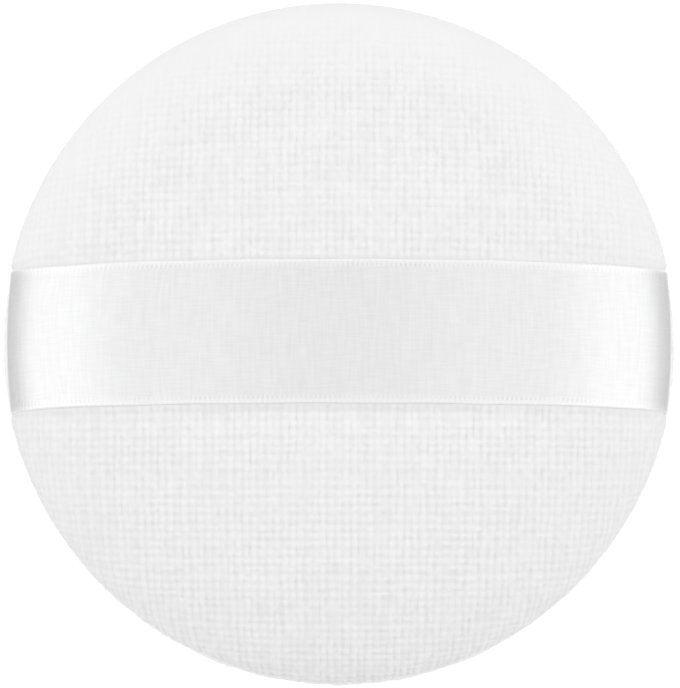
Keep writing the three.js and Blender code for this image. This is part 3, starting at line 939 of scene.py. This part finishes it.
# polyester satin: long warp floats along the ribbon, so its gloss is drawn out across them
# (floats and ribs are drawn coarser than they are so that they show)
def satinShader(tree):
    along, across, slot, bead = (
        addNode(tree, "ShaderNodeAttribute", {"attribute_name": name}).outputs["Fac"]
        for name in ("along", "across", "slot", "bead"))
    place = addNode(tree, "ShaderNodeCombineXYZ", inputs={"X": along, "Y": across})
    patterns = []  # floats, then ribs, each with its run along and across and its detail
    for long, wide, detail in ((2.4 * mm, 0.22 * mm, 2.0), (0.36 * mm, 4 * mm, 1.0)):
        stretch = addNode(
            tree, "ShaderNodeMapping",
            inputs={"Vector": place.outputs[0], "Scale": (1 / long, 1 / wide, 1)})
        pattern = addNode(
            tree, "ShaderNodeTexNoise",
            inputs={"Vector": stretch.outputs[0], "Scale": 1.0, "Detail": detail})
        patterns.append(pattern.outputs["Fac"])
    grain = addNode(
        tree, "ShaderNodeMix", {"data_type": "FLOAT"}, {0: 0.5, 2: patterns[0], 3: patterns[1]})
    tint = addNode(
        tree, "ShaderNodeMix", colourMix,
        {0: grain.outputs[0], 6: linear("d5d5d6"), 7: linear("f0f0f1")})
    # painted highlight: the selvedge bead and the weft turns beside it are painted lighter, more at the crest
    # of each scallop
    edge = addNode(tree, "ShaderNodeMix", colourMix, {0: bead, 6: tint.outputs[2], 7: linear("f0f0f0")})
    # painted shade: the grooves of the weft turns are painted darker
    shade = addNode(tree, "ShaderNodeMix", colourMix, {0: slot, 6: edge.outputs[2], 7: linear("d4d4d6")})
    bump = addNode(
        tree, "ShaderNodeBump",
        inputs={"Strength": 0.3, "Distance": 0.03 * mm, "Height": grain.outputs[0]})
    lie = addNode(tree, "ShaderNodeTangent", {"direction_type": "UV_MAP", "uv_map": "OFBake"})
    return addNode(tree, "ShaderNodeBsdfPrincipled", inputs={
        "Base Color": shade.outputs[2], "Roughness": 0.33, "IOR": 1.75, "Specular IOR Level": 1.0,
        "Anisotropic": 0.35, "Anisotropic Rotation": 0.25, "Tangent": lie.outputs[0],
        "Normal": bump.outputs["Normal"]})


makeBackCover(newMaterial("brushed plain-weave cotton", cottonShader))
makeFaceCover(newMaterial("cotton velour", velourShader))
makeSponge(newMaterial("polyurethane foam", foamShader))
makeThreads(newMaterial("spun polyester thread", threadShader))
ribbonPiece = makeRibbon(newMaterial("polyester satin", satinShader))
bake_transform(ribbonPiece)

# white floor with a painted pool of light, and on each side a soft box with a wider, weaker one round it, so
# that its edge is feathered
studio = {
    "world": 0.572,
    "backdrop": "dadada",
    "lamps": {  # azimuth, elevation, distance, width, height, power
        "box_left": (-90, 30, 0.75, 0.5, 0.55, 1.05),
        "spill_left": (-90, 42, 0.8, 0.55, 1.25, 1.05),
        "box_right": (90, 30, 0.75, 0.5, 0.55, 1.05),
        "spill_right": (90, 42, 0.8, 0.55, 1.25, 1.05),
        "lamp_behind": (180, 30, 0.8, 1.0, 0.6, 1.85),
        "lamp_front": (0, 30, 0.8, 1.0, 0.6, 1.25),
    },
    "card": {"distance": 45 * mm, "height": 14.2 * mm, "length": 24 * mm},  # dark, one beside each ribbon end
    "floorRadius": 4,
    "floorSides": 96,
    "floorGlow": 1.06,
    "shade": (24 * mm, 39 * mm),  # the floor is fully shaded to the first distance, hardly from the second
    "floorWhite": (0.3, 0.95),  # share of the floor's own white that the camera sees at these two distances
    "pool": (59 * mm, 130 * mm),  # painted pool of light: the floor is painted white to the first distance and pale grey from the second
}


def floorShader(tree):
    path = addNode(tree, "ShaderNodeLightPath")
    seen = path.outputs["Is Camera Ray"]
    for ray in ("Is Glossy Ray", "Is Transmission Ray"):
        either = addNode(tree, "ShaderNodeMath", {"operation": "MAXIMUM"}, {0: seen, 1: path.outputs[ray]})
        seen = either.outputs[0]
    place = addNode(tree, "ShaderNodeTexCoord").outputs["Object"]
    away = addNode(tree, "ShaderNodeVectorMath", {"operation": "LENGTH"}, {0: place})
    clear, fade = (
        addNode(tree, "ShaderNodeMapRange", {"interpolation_type": "SMOOTHSTEP"}, {
            "Value": away.outputs["Value"], "From Min": near, "From Max": far,
            "To Min": low, "To Max": high}).outputs["Result"]
        for (near, far), (low, high) in ((studio["shade"], studio["floorWhite"]), (studio["pool"], (0, 1))))
    share = addNode(tree, "ShaderNodeMath", {"operation": "MULTIPLY"}, {0: seen, 1: clear})
    paper = addNode(tree, "ShaderNodeBsdfDiffuse", inputs={"Color": linear("e8e8e8")})
    # painted pool of light: the floor's glow is white near the puff and pale grey further out
    pool = addNode(tree, "ShaderNodeMix", colourMix, {0: fade, 6: linear("ffffff"), 7: linear("d6d6d6")})
    white = addNode(
        tree, "ShaderNodeEmission",
        inputs={"Color": pool.outputs[2], "Strength": studio["floorGlow"]})
    return addNode(
        tree, "ShaderNodeMixShader",
        inputs={0: share.outputs[0], 1: paper.outputs[0], 2: white.outputs[0]})


def makeFloor():
    ground = bmesh.new()
    sides, radius = studio["floorSides"], studio["floorRadius"]
    bmesh.ops.create_circle(ground, cap_ends=True, segments=sides, radius=radius)
    floor = addObject("floor", meshFrom(ground, "floor"), newMaterial("white paper floor", floorShader))


def makeWorld():
    world = bpy.data.worlds.new("studio")
    scene.world = world
    world.use_nodes = True
    tree = world.node_tree
    tree.nodes.clear()
    path = addNode(tree, "ShaderNodeLightPath")
    room = addNode(
        tree, "ShaderNodeBackground",
        inputs={"Color": linear("ffffff"), "Strength": studio["world"]})
    white = addNode(
        tree, "ShaderNodeBackground",
        inputs={"Color": linear(studio["backdrop"]), "Strength": 1.0})
    both = addNode(
        tree, "ShaderNodeMixShader",
        inputs={0: path.outputs["Is Camera Ray"], 1: room.outputs[0], 2: white.outputs[0]})
    addNode(tree, "ShaderNodeOutputWorld", inputs={"Surface": both.outputs[0]})


# puts a lamp or the camera where it looks at the target
def aimAt(target, name, data, azimuth, elevation, distance):
    a, e = math.radians(azimuth), math.radians(elevation)
    away = Vector((math.sin(a) * math.cos(e), -math.cos(a) * math.cos(e), math.sin(e)))
    holder = bpy.data.objects.new(name, data)
    scene.collection.objects.link(holder)
    holder.location = away * distance + Vector(target)
    holder.rotation_euler = away.to_track_quat("Z", "Y").to_euler()
    return holder


def addLamp(name, azimuth, elevation, distance, width, height, power):
    lamp = bpy.data.lights.new(name, "AREA")
    lamp.shape = "RECTANGLE"
    lamp.size, lamp.size_y = width, height
    lamp.energy = power
    aimAt((0, 0, puffForm["seam"]), name, lamp, azimuth, elevation, distance)


def addCard(name, side, material):
    card = studio["card"]
    board = bmesh.new()
    bmesh.ops.create_grid(board, x_segments=1, y_segments=1, size=0.5)
    bmesh.ops.rotate(board, verts=board.verts, matrix=Matrix.Rotation(math.pi / 2, 3, "Y"))
    bmesh.ops.scale(board, verts=board.verts, vec=(1, card["length"], card["height"]))
    bmesh.ops.translate(board, verts=board.verts, vec=(side * card["distance"], 0, card["height"] / 2))
    holder = addObject(name, meshFrom(board, name), material)
    holder.visible_camera = holder.visible_diffuse = holder.visible_shadow = False  # seen in gloss alone


def cardShader(tree):
    return addNode(tree, "ShaderNodeBsdfDiffuse", inputs={"Color": linear("181818")})


makeFloor()
makeWorld()
for lampName, lampPlace in studio["lamps"].items():
    addLamp(lampName, *lampPlace)
darkCard = newMaterial("dark card", cardShader)
addCard("card_left", -1, darkCard)
addCard("card_right", 1, darkCard)

# camera almost straight above, leaning towards the front
view = {
    "elevation": 83.1,
    "distance": 0.87,
    "target": (0.11 * mm, -0.27 * mm, 12 * mm),
    "frameHeight": 78.32 * mm,
    "sensor": 36,
    "clip": (0.01, 20),
}
eye = bpy.data.cameras.new("camera")
eye.sensor_width = view["sensor"]
eye.lens = view["sensor"] * view["distance"] / view["frameHeight"]
eye.clip_start, eye.clip_end = view["clip"]
scene.camera = aimAt(view["target"], "camera", eye, 0, view["elevation"], view["distance"])
scene.view_settings.view_transform = "Standard"
